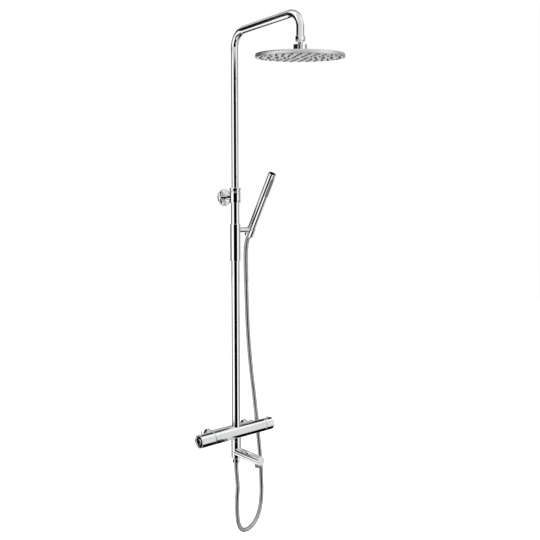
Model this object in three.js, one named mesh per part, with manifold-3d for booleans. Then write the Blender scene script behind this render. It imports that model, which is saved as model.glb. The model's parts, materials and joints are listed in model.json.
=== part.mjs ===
// Rainfall shower column: a telescopic riser with an overhead shower, a thermostatic bar mixer with a
// bath spout, and a stick hand shower on a sliding holder.
// Millimetres. +Z is up, +Y goes into the wall, +X is the user's right when facing the wall.
// The origin is the centre of the wall plate's back, which lies on the wall.

import * as THREE from 'three';
import { mergeVertices } from 'three/addons/utils/BufferGeometryUtils.js';
import Module from 'manifold-3d';

const wasm = await Module();
wasm.setup();

// ---- Driving dimensions -------------------------------------------------------------------------

const GAP = 0.3; // clearance left between pieces that touch
const SIDES = 16; // sides of an ordinary turned piece
const BAR_SIDES = 24; // of the mixer bar and what turns with it
const DISC_SIDES = 32; // of the overhead shower's thin disc

const COLUMN_Y = -58; // riser axis, in front of the wall
const BAR_Z = -759; // axis of the mixer bar, below the bracket
const ARM_Z = 505; // axis of the level arm
const ARM_REACH = 295; // riser axis to the axis of the drop at the arm's end
const BEND_R = 46; // centre-line radius of both bends
const DROP_Y = COLUMN_Y - ARM_REACH;

const LOWER_R = 13; // lower riser tube
const LOWER_BORE = 11.4;
const LOWER_TOP = 10;
const UPPER_R = 11; // upper riser tube and arm
const UPPER_BORE = 9.3;
const UPPER_FOOT = -190;
const UPPER_END = ARM_Z - 73.7;

const COLLAR_R = 17; // bracket collar round the riser
const COLLAR_LOW = -19;
const COLLAR_HIGH = 13;
const CLAMP_LOW = 17.3;
const CLAMP_HIGH = 28;
const STUB_R = 9;

const BALL_Z = ARM_Z - 79.5; // centre of the overhead shower's ball joint
const BALL_R = 10.5;
const HEAD_TILT = THREE.MathUtils.degToRad(8); // how the overhead shower hangs at rest
const TILT_TURN = THREE.MathUtils.degToRad(41); // heading of its tilt axis, clockwise from +X
const HEAD_R = 125;
const HEAD_TOP = -36.8; // top of the thin disc, below the ball centre
const HEAD_FACE = -48.1; // its spray face
const NOZZLE_RINGS = 5;
const NOZZLE_PITCH = 22.2; // ring to ring
const NOZZLES_PER_RING = 6; // times the ring's number

const BAR_R = 21;
const BODY_LEFT = -94; // the bar's casting, along X
const BODY_RIGHT = 114.5;
const BAR_END = 147; // both handles end here
const CARTRIDGE_BORE = 16.3;
const INLET_X = 75; // half of the 150 mm between the inlets
const BLOCK_BACK = COLUMN_Y + 45; // rear face of the block behind the bar
const BLOCK_HALF = 9;
const BLOCK_FRONT = COLUMN_Y + 10;
const BLOCK_LONG = 196;
const BLOCK_MIDDLE_X = 6;
const WATERWAY_R = 5.8; // inlet bores in the casting
const OUTLET_BORE = 9.3; // socket for the outlet core under the bar
const RISER_WATERWAY_R = 5; // from the casting up into the riser
const INLET_NUT_R = 14.4; // across the corners of its hexagon
const INLET_NUT_BORE = 10.4; // of the half-inch thread
const INLET_NUT_NECK = 8.4;

const OUTLET_R = 15.5; // vertical body under the bar
const SPOUT_Z = BAR_Z - 63;
const SPOUT_R = 14.7;
const SPOUT_REACH = 125; // riser axis to the spout's flat end
const AERATOR_Y = COLUMN_Y - 110;
const AERATOR_PROUD = 7; // how far it stands below the spout pipe

const SLEEVE_R = 16;
const SLEEVE_LOW = -202;
const SLEEVE_HIGH = -86;
const HOLDER_Z = -104; // axis of the holder arm and of the cradle's tilt
const STICK_X = 63.7; // the hand shower's axis crosses the holder axis here
const STICK_LEAN = THREE.MathUtils.degToRad(31.1); // leans this far out into the room
const STICK_R = 12;
const STICK_FOOT = -22; // foot and top of the hand shower along its axis, from the holder axis
const STICK_TOP = 204;
const CRADLE_R = 14;
const CRADLE_BORE = 12.4;
const CRADLE_SLOT = 15; // width of the opening at its front

const HOSE_R = 7;
const HOSE_SIDES = 8;
const HOSE_STEPS = 45;
// Middle line of the hose, from the hand shower's nut round behind the right handle to the outlet.
const HOSE_ROUTE = [
  [63.7, -46.9, -124.8], [63.7, -41.5, -133.8], [63.7, -36.5, -146], [63.7, -33, -165],
  [64, -31, -200], [66.5, -29.5, -260], [70, -27.5, -330], [75.5, -25, -410], [84, -22.5, -495],
  [95, -20.5, -580], [107.5, -19, -660], [115.5, -18.7, -720], [120.5, -19, -759],
  [124, -20.5, -800], [127, -24, -850], [128, -29, -900], [127, -33.5, -950], [124.5, -38, -1000],
  [117, -42, -1040], [101, -46.5, -1074], [77, -50, -1096], [49, -53, -1103.5], [25, -55, -1096],
  [9.5, -56.5, -1070], [3.5, -57.5, -1030], [3, -58, -985], [5.5, -58, -945], [2.5, -58, -908],
  [0, -58, -880], [0, -58, -858.3],
];

// ---- Materials ----------------------------------------------------------------------------------

const chrome = { color: 0xd9dcde, roughness: 0.08, metalness: 1 };
const steel = { color: 0xb9bcbe, roughness: 0.3, metalness: 1 };
const brass = { color: 0xb98e45, roughness: 0.35, metalness: 1 };
const whitePlastic = { color: 0xe4e3dd, roughness: 0.45, metalness: 0 };
const greyPlastic = { color: 0x6c7073, roughness: 0.5, metalness: 0 };
const rubber = { color: 0x1c1c1c, roughness: 0.75, metalness: 0 };
const silicone = { color: 0x3a3d40, roughness: 0.6, metalness: 0 };

// ---- Geometry helpers ---------------------------------------------------------------------------

// Position only, shared vertices merged, no empty triangles, faces pointing out.
function tidy(geometry) {
  const bare = geometry.clone();
  bare.deleteAttribute('normal');
  bare.deleteAttribute('uv');
  const merged = mergeVertices(bare, 1e-4);
  const at = merged.getAttribute('position');
  const index = merged.getIndex().array;
  const kept = [];
  const corner = [new THREE.Vector3(), new THREE.Vector3(), new THREE.Vector3()];
  let volume = 0;
  for (let i = 0; i < index.length; i += 3) {
    const [a, b, c] = [index[i], index[i + 1], index[i + 2]];
    if (a === b || b === c || c === a) continue;
    kept.push(a, b, c);
    corner.forEach((p, k) => p.fromBufferAttribute(at, index[i + k]));
    volume += corner[0].dot(corner[1].cross(corner[2]));
  }
  if (volume < 0) kept.reverse();
  merged.setIndex(kept);
  return merged;
}

function toSolid(geometry) {
  const clean = tidy(geometry);
  const vertProperties = Float32Array.from(clean.getAttribute('position').array);
  const triVerts = Uint32Array.from(clean.getIndex().array);
  return new wasm.Manifold(new wasm.Mesh({ numProp: 3, vertProperties, triVerts }));
}

function toGeometry(solid) {
  const mesh = solid.getMesh();
  const geometry = new THREE.BufferGeometry();
  geometry.setAttribute('position', new THREE.BufferAttribute(mesh.vertProperties, 3));
  geometry.setIndex(new THREE.BufferAttribute(mesh.triVerts, 1));
  return geometry;
}

function join(...geometries) {
  return toGeometry(geometries.map(toSolid).reduce((whole, piece) => whole.add(piece)));
}

function cut(geometry, ...tools) {
  return toGeometry(tools.map(toSolid).reduce((left, tool) => left.subtract(tool), toSolid(geometry)));
}

// A piece turned about Z from [radius, height] pairs, which start and end on the axis or close.
function turned(profile, sides = SIDES) {
  const points = profile.map(([radius, height]) => new THREE.Vector2(radius, height));
  return tidy(new THREE.LatheGeometry(points, sides).rotateX(Math.PI / 2));
}

function rod(radius, low, high, sides = SIDES) {
  return turned([[0, low], [radius, low], [radius, high], [0, high]], sides);
}

function ring(inner, outer, low, high, sides = SIDES) {
  return turned([[inner, low], [outer, low], [outer, high], [inner, high], [inner, low]], sides);
}

// Points on a quarter or part circle, for profiles.
function arc(centreR, centreZ, radius, from, to, count) {
  return Array.from({ length: count + 1 }, (_, i) => {
    const angle = THREE.MathUtils.degToRad(from + ((to - from) * i) / count);
    return [centreR + radius * Math.cos(angle), centreZ + radius * Math.sin(angle)];
  });
}

// Turns a piece made along Z so that its height is measured out from the wall, along -Y.
const fromWall = (geometry) => geometry.rotateX(Math.PI / 2);
// Turns it so that its height runs along +X or along -X.
const alongX = (geometry) => geometry.rotateY(Math.PI / 2);
const alongMinusX = (geometry) => geometry.rotateY(-Math.PI / 2);

// A path whose section planes stand exactly at the given stations.
class StationPath extends THREE.Curve {
  constructor(stations) {
    super();
    this.stations = stations;
  }

  getPoint(t, target = new THREE.Vector3()) {
    const place = t * (this.stations.length - 1);
    const i = Math.min(Math.floor(place), this.stations.length - 2);
    return target.copy(this.stations[i]).lerp(this.stations[i + 1], place - i);
  }

  getPointAt(u, target) {
    return this.getPoint(u, target);
  }

  getTangentAt(u, target = new THREE.Vector3()) {
    const last = this.stations.length - 1;
    const i = Math.round(u * last);
    const before = this.stations[Math.max(i - 1, 0)];
    const here = this.stations[i];
    const after = this.stations[Math.min(i + 1, last)];
    target.copy(here).sub(before).normalize();
    return target.add(after.clone().sub(here).normalize()).normalize();
  }
}

function circle(radius, sides) {
  const shape = new THREE.Shape();
  for (let i = 0; i < sides; i++) {
    const angle = (2 * Math.PI * i) / sides;
    shape[i ? 'lineTo' : 'moveTo'](radius * Math.cos(angle), radius * Math.sin(angle));
  }
  shape.closePath();
  return shape;
}

function swept(section, stations) {
  const settings = {
    steps: stations.length - 1, extrudePath: new StationPath(stations), bevelEnabled: false,
  };
  return tidy(new THREE.ExtrudeGeometry(section, settings));
}

const root = new THREE.Group();

function add(name, finish, geometry, parent = root) {
  const mesh = new THREE.Mesh(geometry, new THREE.MeshStandardMaterial(finish));
  mesh.name = name;
  parent.add(mesh);
  return mesh;
}

function groupAt(x, y, z, parent = root) {
  const group = new THREE.Group();
  group.position.set(x, y, z);
  parent.add(group);
  return group;
}

// ---- Wall bracket -------------------------------------------------------------------------------

const PLATE_R = 22;
const PLATE_THICK = 3.2;
const BOSS_R = 6.5; // the stub slides over this boss on the wall plate
const SCREW_HOLE_X = 14;
const SCREW_HOLE_R = 2.5;

function wallPlate() {
  const plate = turned([[0, 0], [PLATE_R, 0], [PLATE_R, PLATE_THICK], [BOSS_R, PLATE_THICK],
    [BOSS_R, 12], [0, 12]]);
  const holes = [-1, 1].map((side) => rod(SCREW_HOLE_R, -1, 5, 16).translate(side * SCREW_HOLE_X, 0, 0));
  return fromWall(cut(plate, ...holes));
}

function escutcheon() {
  return fromWall(turned([[25.4, GAP], [27, GAP], [27, 4.4], [26, 5.4], [STUB_R + GAP, 7.2],
    [STUB_R + GAP, 6], [25.4, 4.2], [25.4, GAP]], BAR_SIDES));
}

// Stub and collar are one casting, with the collar's axis on the riser.
function bracket() {
  const collar = turned([[LOWER_R + GAP, COLLAR_LOW], [COLLAR_R - 0.6, COLLAR_LOW],
    [COLLAR_R, COLLAR_LOW + 0.6], [COLLAR_R, COLLAR_HIGH - 0.6], [COLLAR_R - 1.5, COLLAR_HIGH],
    [COLLAR_R - 1.5, 17], [13.5, 17], [13.5, 23], [UPPER_R + GAP, 23],
    [UPPER_R + GAP, LOWER_TOP + GAP], [LOWER_R + GAP, LOWER_TOP + GAP], [LOWER_R + GAP, COLLAR_LOW]]);
  collar.translate(0, COLUMN_Y, 0);
  const stub = fromWall(ring(BOSS_R + GAP, STUB_R, 3.6, 44));
  const bore = rod(LOWER_R + 1.5, COLLAR_LOW, LOWER_TOP).translate(0, COLUMN_Y, 0);
  const stubScrew = rod(2.3, -12, -4, 12).translate(0, -9.5, 0);
  const collarScrew = fromWall(rod(2.8, 6, 25, 12)).translate(0, COLUMN_Y, COLLAR_LOW + 5);
  return cut(join(collar, cut(stub, bore)), stubScrew, collarScrew);
}

// A headless screw with a hexagon socket, its point at height 0.
function socketScrew(radius, length) {
  return cut(rod(radius, 0, length, 12), rod(radius * 0.5, length - 1.6, length + 1, 6));
}

add('wall_plate', steel, wallPlate());
add('wall_escutcheon', chrome, escutcheon());
add('wall_bracket', chrome, bracket());
add('stub_set_screw', steel, socketScrew(2, 2.2).rotateX(Math.PI).translate(0, -9.5, -BOSS_R - GAP));
add('collar_grub_screw', steel,
  fromWall(socketScrew(2.5, 3.6)).translate(0, COLUMN_Y - LOWER_R - GAP, COLLAR_LOW + 5));
const clampRing = turned([[13.8, CLAMP_LOW], [16.6, CLAMP_LOW], [17.6, CLAMP_HIGH - 2.5],
  [17.6, CLAMP_HIGH - 1], [16.8, CLAMP_HIGH], [UPPER_R + GAP, CLAMP_HIGH],
  [UPPER_R + GAP, CLAMP_HIGH - 2], [13.8, CLAMP_HIGH - 2], [13.8, CLAMP_LOW]]);
add('clamp_ring', chrome, clampRing.translate(0, COLUMN_Y, 0));
add('clamp_seal', rubber, ring(UPPER_R + GAP, 13.5, 23.3, 25.7).translate(0, COLUMN_Y, 0));

// ---- Riser --------------------------------------------------------------------------------------

const SOCKET_FLOOR = 1.5; // the riser stands in a socket in the bar, this high above the bar's axis

const riser = groupAt(0, COLUMN_Y, 0);
add('riser_lower_tube', chrome,
  ring(LOWER_BORE, LOWER_R, BAR_Z + SOCKET_FLOOR + 2.6, LOWER_TOP), riser);
add('riser_base_seal', rubber,
  ring(8, LOWER_R, BAR_Z + SOCKET_FLOOR + GAP, BAR_Z + SOCKET_FLOOR + 2.3), riser);

const BUSH_FOOT = UPPER_FOOT - 20;
const guideBush = turned([[7, BUSH_FOOT], [11.1, BUSH_FOOT], [11.1, -200.3], [9.6, -200.3],
  [9.6, -197.9], [11.1, -197.9], [11.1, UPPER_FOOT - GAP], [9, UPPER_FOOT - GAP],
  [9, UPPER_FOOT + 15], [7, UPPER_FOOT + 15], [7, BUSH_FOOT]]);
add('riser_guide_bush', whitePlastic, guideBush, riser);
add('riser_guide_o_ring', rubber, ring(9.9, 11.2, -200, -198.2), riser);

// Stations of the upper tube: up the riser, over into the arm, and down at its end.
function armStations(bendSteps) {
  const stations = [new THREE.Vector3(0, COLUMN_Y, UPPER_FOOT)];
  for (let i = 0; i <= bendSteps; i++) {
    const angle = (Math.PI / 2) * (i / bendSteps);
    const y = COLUMN_Y - BEND_R + BEND_R * Math.cos(angle);
    stations.push(new THREE.Vector3(0, y, ARM_Z - BEND_R + BEND_R * Math.sin(angle)));
  }
  for (let i = 0; i <= bendSteps; i++) {
    const angle = (Math.PI / 2) * (i / bendSteps);
    const y = DROP_Y + BEND_R - BEND_R * Math.sin(angle);
    stations.push(new THREE.Vector3(0, y, ARM_Z - BEND_R + BEND_R * Math.cos(angle)));
  }
  stations.push(new THREE.Vector3(0, DROP_Y, UPPER_END));
  return stations;
}

const tubeWall = circle(UPPER_R, SIDES);
tubeWall.holes.push(circle(UPPER_BORE, SIDES));
add('riser_upper_tube', chrome, swept(tubeWall, armStations(6)));

// ---- Ball joint and overhead shower -------------------------------------------------------------

const joint = groupAt(0, DROP_Y, BALL_Z);
const NUT_LOW = -3.5; // heights here are from the ball's centre
const NUT_HIGH = 8.5;
const ballNut = turned([[10.15, NUT_LOW], [13, NUT_LOW], [13.5, NUT_LOW + 0.6],
  [13.5, NUT_HIGH - 0.6], [13, NUT_HIGH], [UPPER_R + GAP, NUT_HIGH], [UPPER_R + GAP, 5.5],
  [11.9, 5.5], [11.9, 0], [10.9, -0.5], [10.15, NUT_LOW]]);
add('ball_joint_nut', chrome, ballNut, joint);
add('ball_seat_ring', whitePlastic,
  turned([[10.75, 1.5], [11.6, 1.5], [11.6, 5], [9.7, 5], [10.75, 1.5]]), joint);

const head = new THREE.Group();
joint.add(head);
const tiltAxis = new THREE.Vector3(Math.cos(TILT_TURN), -Math.sin(TILT_TURN), 0);
head.setRotationFromAxisAngle(tiltAxis, HEAD_TILT);

const BOSS_TOP = -12.5;
const BOSS_LOW = HEAD_TOP + GAP;
const STEM_LOW = -22;

function ball() {
  const outline = arc(0, 0, BALL_R, -48, 31.6, 6);
  return turned([[3.5, STEM_LOW], [7, STEM_LOW], ...outline, [3.5, outline.at(-1)[1]],
    [3.5, STEM_LOW]]);
}

function boss() {
  return turned([[4, BOSS_LOW], [19, BOSS_LOW], [19, BOSS_TOP - 1], [18, BOSS_TOP], [7.3, BOSS_TOP],
    [7.3, STEM_LOW - GAP], [4, STEM_LOW - GAP], [4, BOSS_LOW]]);
}

const PLATE_TOP = HEAD_FACE + 1.6;
const RIM_R = 122;

function headShell() {
  const rim = arc(HEAD_R - 4, HEAD_TOP - 4, 4, 90, 0, 2);
  const lip = arc(HEAD_R - 2, HEAD_FACE + 2, 2, 0, -90, 1);
  return turned([[6, HEAD_TOP], ...rim, ...lip, [RIM_R + GAP, HEAD_FACE], [RIM_R + GAP, HEAD_TOP - 4],
    [RIM_R - 3, HEAD_TOP - 1.6], [6, HEAD_TOP - 1.6], [6, HEAD_TOP]], DISC_SIDES);
}

function nozzlePlaces() {
  const places = [];
  for (let k = 1; k <= NOZZLE_RINGS; k++) {
    const count = NOZZLES_PER_RING * k;
    for (let i = 0; i < count; i++) {
      const angle = (2 * Math.PI * i) / count;
      const radius = NOZZLE_PITCH * k;
      places.push([radius * Math.cos(angle), radius * Math.sin(angle), angle]);
    }
  }
  return places;
}

// A square outline with its corners on a circle.
function square(x, y, radius, turn, kind = THREE.Path) {
  const path = new kind();
  for (let i = 0; i < 4; i++) {
    const angle = turn + (Math.PI / 2) * i;
    path[i ? 'lineTo' : 'moveTo'](x + radius * Math.cos(angle), y + radius * Math.sin(angle));
  }
  path.closePath();
  return path;
}

function sprayPlate() {
  const disc = circle(RIM_R - GAP, DISC_SIDES);
  disc.holes.push(...nozzlePlaces().map(([x, y, turn]) => square(x, y, 2.9, turn)));
  const flat = new THREE.ExtrudeGeometry(disc, { depth: PLATE_TOP - HEAD_FACE, bevelEnabled: false });
  return tidy(flat.translate(0, 0, HEAD_FACE));
}

// One moulding: a thin disc behind the plate, with every nozzle through its own hole.
function nozzleMat() {
  const mat = rod(NOZZLE_PITCH * NOZZLE_RINGS + 4, PLATE_TOP + GAP, PLATE_TOP + 2, DISC_SIDES);
  const stud = (place) => {
    const outline = square(place[0], place[1], 2.3, place[2], THREE.Shape);
    const depth = PLATE_TOP + 1 - (HEAD_FACE - 1.6);
    const post = new THREE.ExtrudeGeometry(outline, { depth, bevelEnabled: false });
    return post.translate(0, 0, HEAD_FACE - 1.6);
  };
  return join(mat, ...nozzlePlaces().map(stud));
}

add('head_ball', chrome, ball(), head);
add('head_boss', chrome, boss(), head);
add('head_shell', steel, headShell(), head);
add('head_spray_plate', steel, sprayPlate(), head);
add('head_nozzle_mat', silicone, nozzleMat(), head);
add('head_rim_seal', rubber,
  ring(RIM_R - 4, RIM_R - GAP, PLATE_TOP + GAP, PLATE_TOP + 2, DISC_SIDES), head);

// ---- Mixer bar ----------------------------------------------------------------------------------

const bar = groupAt(0, COLUMN_Y, BAR_Z);
const BLOCK_Y = BLOCK_BACK - COLUMN_Y; // rear face of the block, from the bar's axis
const WALL_Y = -COLUMN_Y; // the wall, from the bar's axis
const SPIGOT_END = BLOCK_Y + 4.3;

// Turns a piece made along Z so that its height runs along +Y, towards the wall.
const toWall = (geometry) => geometry.rotateX(-Math.PI / 2);

function mixerBody() {
  const barrel = alongX(rod(BAR_R, BODY_LEFT, BODY_RIGHT, BAR_SIDES));
  const front = BLOCK_FRONT - COLUMN_Y;
  const block = new THREE.BoxGeometry(BLOCK_LONG, BLOCK_Y - front, 2 * BLOCK_HALF);
  block.translate(BLOCK_MIDDLE_X, (front + BLOCK_Y) / 2, 0);
  const spigots = [-INLET_X, INLET_X].flatMap((x) => [
    toWall(rod(8, BLOCK_Y - 2, SPIGOT_END)).translate(x, 0, 0),
    toWall(rod(9.9, SPIGOT_END - 2.6, SPIGOT_END)).translate(x, 0, 0),
  ]);
  const inletBores = [-INLET_X, INLET_X].map((x) =>
    toWall(rod(WATERWAY_R, 8, WALL_Y, 16)).translate(x, 0, 0));
  return cut(join(barrel, block, ...spigots), ...inletBores,
    alongX(rod(CARTRIDGE_BORE, BODY_LEFT - 1, -48)),
    alongX(rod(CARTRIDGE_BORE, 48, BODY_RIGHT + 1)),
    rod(LOWER_R + GAP, SOCKET_FLOOR, BAR_R + 5),
    rod(OUTLET_BORE, -BAR_R - 5, -8),
    rod(RISER_WATERWAY_R, -10, SOCKET_FLOOR + 2, 16));
}

function unionNut() {
  const outer = rod(INLET_NUT_R, BLOCK_Y + GAP, WALL_Y, 6);
  const neck = rod(INLET_NUT_NECK, BLOCK_Y, BLOCK_Y + 1.4);
  const thread = rod(INLET_NUT_BORE, BLOCK_Y + 1.4, WALL_Y + 1);
  return toWall(cut(outer, neck, thread));
}

add('mixer_body', chrome, mixerBody(), bar);
for (const [side, x] of [['left', -INLET_X], ['right', INLET_X]]) {
  const inlet = groupAt(x, 0, 0, bar);
  add(`inlet_nut_${side}`, chrome, unionNut(), inlet);
  const washer = ring(5.5, 10, SPIGOT_END + GAP, SPIGOT_END + 2.3, 16);
  add(`inlet_filter_${side}`, rubber, toWall(washer), inlet);
  const valve = turned([[0, 30], [5.4, 30], [5.4, SPIGOT_END - 1], [3, SPIGOT_END - 1],
    [3, 40], [0, 38]], 16);
  add(`check_valve_${side}`, whitePlastic, toWall(valve), inlet);
}

// ---- Cartridges and handles ---------------------------------------------------------------------
// Each end is made along +Z from the middle of the bar and turned to its side.

function cartridge(inner, outer) {
  return turned([[0, inner], [12, inner], [12, inner + 14], [15.8, inner + 16], [15.8, outer - 6],
    [9, outer - 6], [9, outer], [0, outer]]);
}

function handle(inner, cavity, pinAt, pinTurn) {
  const shell = turned([[17.5, inner], [BAR_R - 0.5, inner], [BAR_R, inner + 0.5],
    [BAR_R, BAR_END - 1], [BAR_R - 1, BAR_END], [19.3, BAR_END], [19.3, BAR_END - 4],
    [4.3, BAR_END - 4], [4.3, cavity], [17.5, cavity], [17.5, inner]], BAR_SIDES);
  const pinHole = rod(2.1, 14, BAR_R + 3, 12).rotateY(-Math.PI / 2).translate(0, 0, pinAt);
  return cut(shell, pinHole.rotateZ(pinTurn));
}

function endCap() {
  const back = BAR_END - 3.7;
  return turned([[0, back], [19, back], [19, BAR_END - 0.8], [17, BAR_END - 0.8],
    [16, BAR_END - 1.8], [8, BAR_END - 1.8], [7, BAR_END - 1], [0, BAR_END - 1]], BAR_SIDES);
}

const PIN_ROOT = 17.8;
const PIN_TOP = 33;
const PIN_BALL_R = 2.75;

function pinLever() {
  const knob = arc(0, PIN_TOP - PIN_BALL_R, PIN_BALL_R, -46, 90, 5);
  return turned([[0, PIN_ROOT], [1.8, PIN_ROOT], [1.8, 27.5], ...knob.slice(0, -1), [0, PIN_TOP]], 12);
}

const ENDS = [
  { name: 'temperature', cartridge: 'thermostatic_cartridge', place: alongMinusX,
    side: -1, inner: 94.3, cavity: 124, pinAt: 136, lean: 0 },
  { name: 'flow', cartridge: 'flow_cartridge', place: alongX,
    side: 1, inner: 114.8, cavity: 128, pinAt: 125, lean: THREE.MathUtils.degToRad(20) },
];
for (const end of ENDS) {
  const { name, place, side, inner, cavity, pinAt, lean } = end;
  add(end.cartridge, whitePlastic, place(cartridge(50, cavity - 4)), bar);
  const pinTurn = side > 0 ? 0 : Math.PI;
  const shell = place(handle(inner, cavity, pinAt, pinTurn)).rotateX(lean);
  add(`${name}_handle`, chrome, shell, bar);
  add(`${name}_end_cap`, chrome, place(endCap()), bar);
  add(`${name}_pin`, chrome, pinLever().translate(side * pinAt, 0, 0).rotateX(lean), bar);
  add(`${name}_spindle`, brass, place(rod(4, cavity - 3.7, BAR_END - 8, 16)), bar);
  add(`${name}_handle_screw`, steel, place(socketScrew(3.6, 3.4).translate(0, 0, BAR_END - 7.7)), bar);
}

// ---- Outlet and bath spout ----------------------------------------------------------------------

const CORE_FOOT = -96; // heights from the bar's axis
const HUB_TOP = -27.3;
const HUB_LOW = -84;
const CORE_R = 9;

function outletCore() {
  const tube = ring(5, CORE_R, CORE_FOOT, -8.3);
  return cut(tube, toWall(rod(3.5, -12, 12, 12)).translate(0, 0, SPOUT_Z - BAR_Z));
}

function outletCollar() {
  const sleeve = ring(CORE_R + GAP, OUTLET_R, HUB_TOP + GAP, -8);
  return cut(sleeve, alongX(rod(BAR_R + GAP, -30, 30, BAR_SIDES)));
}

function spoutBody() {
  const axis = SPOUT_Z - BAR_Z;
  const hub = turned([[0, HUB_LOW], [OUTLET_R - 1, HUB_LOW], [OUTLET_R, HUB_LOW + 1],
    [OUTLET_R, HUB_TOP], [0, HUB_TOP]]);
  const pipe = fromWall(turned([[0, 0], [SPOUT_R, 0], [SPOUT_R, SPOUT_REACH - 0.6],
    [SPOUT_R - 0.6, SPOUT_REACH], [0, SPOUT_REACH]])).translate(0, 0, axis);
  const coreBore = turned([[0, HUB_LOW - 1], [CORE_R + GAP, HUB_LOW - 1], [CORE_R + GAP, -35.3],
    [10.8, -35.3], [10.8, -32.7], [CORE_R + GAP, -32.7], [CORE_R + GAP, HUB_TOP + 1],
    [0, HUB_TOP + 1]]);
  const waterway = fromWall(rod(9.5, 0, SPOUT_REACH - 6)).translate(0, 0, axis);
  const mouth = rod(10.3, axis - 20, axis - 4).translate(0, AERATOR_Y - COLUMN_Y, 0);
  return cut(join(hub, pipe), coreBore, waterway, mouth);
}

add('outlet_core', brass, outletCore(), bar);
add('outlet_collar', chrome, outletCollar(), bar);
add('spout_body', chrome, spoutBody(), bar);
add('spout_o_ring', rubber, ring(CORE_R + 0.2, 10.5, -35, -33), bar);
add('spout_retaining_ring', chrome, ring(CORE_R + GAP, 12.5, HUB_LOW - 3, HUB_LOW - GAP), bar);
const aerator = groupAt(0, AERATOR_Y, SPOUT_Z - SPOUT_R - AERATOR_PROUD);
add('spout_aerator', greyPlastic, turned([[7.4, 0], [9.4, 0], [10, 0.6], [10, 14], [8.2, 14],
  [8.2, 1.4], [7.4, 1.4], [7.4, 0]]), aerator);
add('aerator_insert', greyPlastic, rod(7.9, 1.7, 12), aerator);

// ---- Hose ---------------------------------------------------------------------------------------

const NUT_TOP = HUB_LOW - 3.3;
const NUT_FOOT = -103;
const HOSE_BORE = HOSE_R + 0.4;
const lowerNut = turned([[HOSE_BORE, NUT_FOOT], [9.6, NUT_FOOT], [11, NUT_FOOT + 1.4],
  [11, NUT_TOP], [CORE_R + GAP, NUT_TOP], [CORE_R + GAP, -98.8], [HOSE_BORE, -98.8],
  [HOSE_BORE, NUT_FOOT]]);
add('hose_nut_lower', chrome, lowerNut, bar);
add('hose_washer', rubber, ring(4, 8.8, CORE_FOOT - 2.4, CORE_FOOT - GAP, 16), bar);

const route = new THREE.CatmullRomCurve3(HOSE_ROUTE.map((point) => new THREE.Vector3(...point)));
add('shower_hose', steel, swept(circle(HOSE_R, HOSE_SIDES), route.getSpacedPoints(HOSE_STEPS)));

// ---- Slider and holder --------------------------------------------------------------------------

const ARM_R = 7.5;
const ARM_END = 47.5;
const SPIGOT_R = 5;
const LINER_LONG = 22;
const SLEEVE_BORE = 14.6;
const LINER_OUTER = 14.3;
const LINER_INNER = 13.2;

function sleeve() {
  const tube = turned([[SLEEVE_BORE, SLEEVE_LOW], [SLEEVE_R - 0.7, SLEEVE_LOW],
    [SLEEVE_R, SLEEVE_LOW + 0.7], [SLEEVE_R, SLEEVE_HIGH - 0.7], [SLEEVE_R - 0.7, SLEEVE_HIGH],
    [SLEEVE_BORE, SLEEVE_HIGH], [SLEEVE_BORE, SLEEVE_LOW]]);
  return cut(tube, alongX(rod(SPIGOT_R + GAP, 10, 20, 16)).translate(0, 0, HOLDER_Z));
}

// The arm's end is hollowed to the sleeve's outside; its spigot goes through the sleeve's wall.
function holderArm() {
  const arm = cut(alongX(rod(ARM_R, 12, ARM_END)), rod(SLEEVE_R + GAP, -12, 12));
  const spigot = alongX(rod(SPIGOT_R, 14.9, 20));
  return cut(join(arm, spigot), alongX(rod(4.5, 30, ARM_END + 1)));
}

add('slider_sleeve', chrome, sleeve(), riser);
add('slider_liner_lower', whitePlastic,
  ring(LINER_INNER, LINER_OUTER, SLEEVE_LOW + GAP, SLEEVE_LOW + LINER_LONG), riser);
add('slider_liner_upper', whitePlastic,
  ring(LINER_INNER, LINER_OUTER, SLEEVE_HIGH - LINER_LONG / 2, SLEEVE_HIGH - GAP), riser);

const holder = groupAt(0, COLUMN_Y, HOLDER_Z);
add('holder_arm', chrome, holderArm(), holder);
add('holder_friction_washer', whitePlastic,
  alongX(ring(4.5, ARM_R, ARM_END + GAP, ARM_END + 1.3, SIDES)), holder);

// The stick's own frame: height along its axis, from where that axis crosses the holder axis.
const stick = groupAt(STICK_X, 0, 0, holder);
stick.rotation.x = STICK_LEAN;

function cradle() {
  const cup = turned([[0, STICK_FOOT - 1], [CRADLE_R - 0.8, STICK_FOOT - 1],
    [CRADLE_R, STICK_FOOT + 0.2], [CRADLE_R, 4.4], [CRADLE_R - 0.6, 5], [0, 5]]);
  const hub = alongX(rod(8.2, ARM_END + 1.6 - STICK_X, -4, SIDES));
  const pivot = alongX(rod(4.1, 36 - STICK_X, -10, 16));
  const slot = new THREE.BoxGeometry(CRADLE_SLOT, 30, 60).translate(0, -15, 0);
  return cut(join(cup, hub, pivot), rod(CRADLE_BORE, STICK_FOOT - 5, 9), slot);
}

function handsetBody() {
  const shoulder = 5.4;
  const tube = turned([[8, 1.8], [11.6, 1.8], [11.6, shoulder], [STICK_R, shoulder],
    [STICK_R, STICK_TOP - 4.3], [STICK_BORE, STICK_TOP - 4.3], [STICK_BORE, 12], [8, 12],
    [8, 1.8]]);
  return cut(tube, stripOutline(STRIP_HALF + GAP, STRIP_LONG + 2 * GAP).translate(0, STRIP_Y, 0));
}

// The spray strip: a slim bar with round ends on the side that faces the room.
const STRIP_MIDDLE = 158;
const STRIP_HALF = 6;
const STRIP_LONG = 66;
const STRIP_Y = -9.2; // its back, from the hand shower's axis
const STICK_BORE = 9.5;

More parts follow.
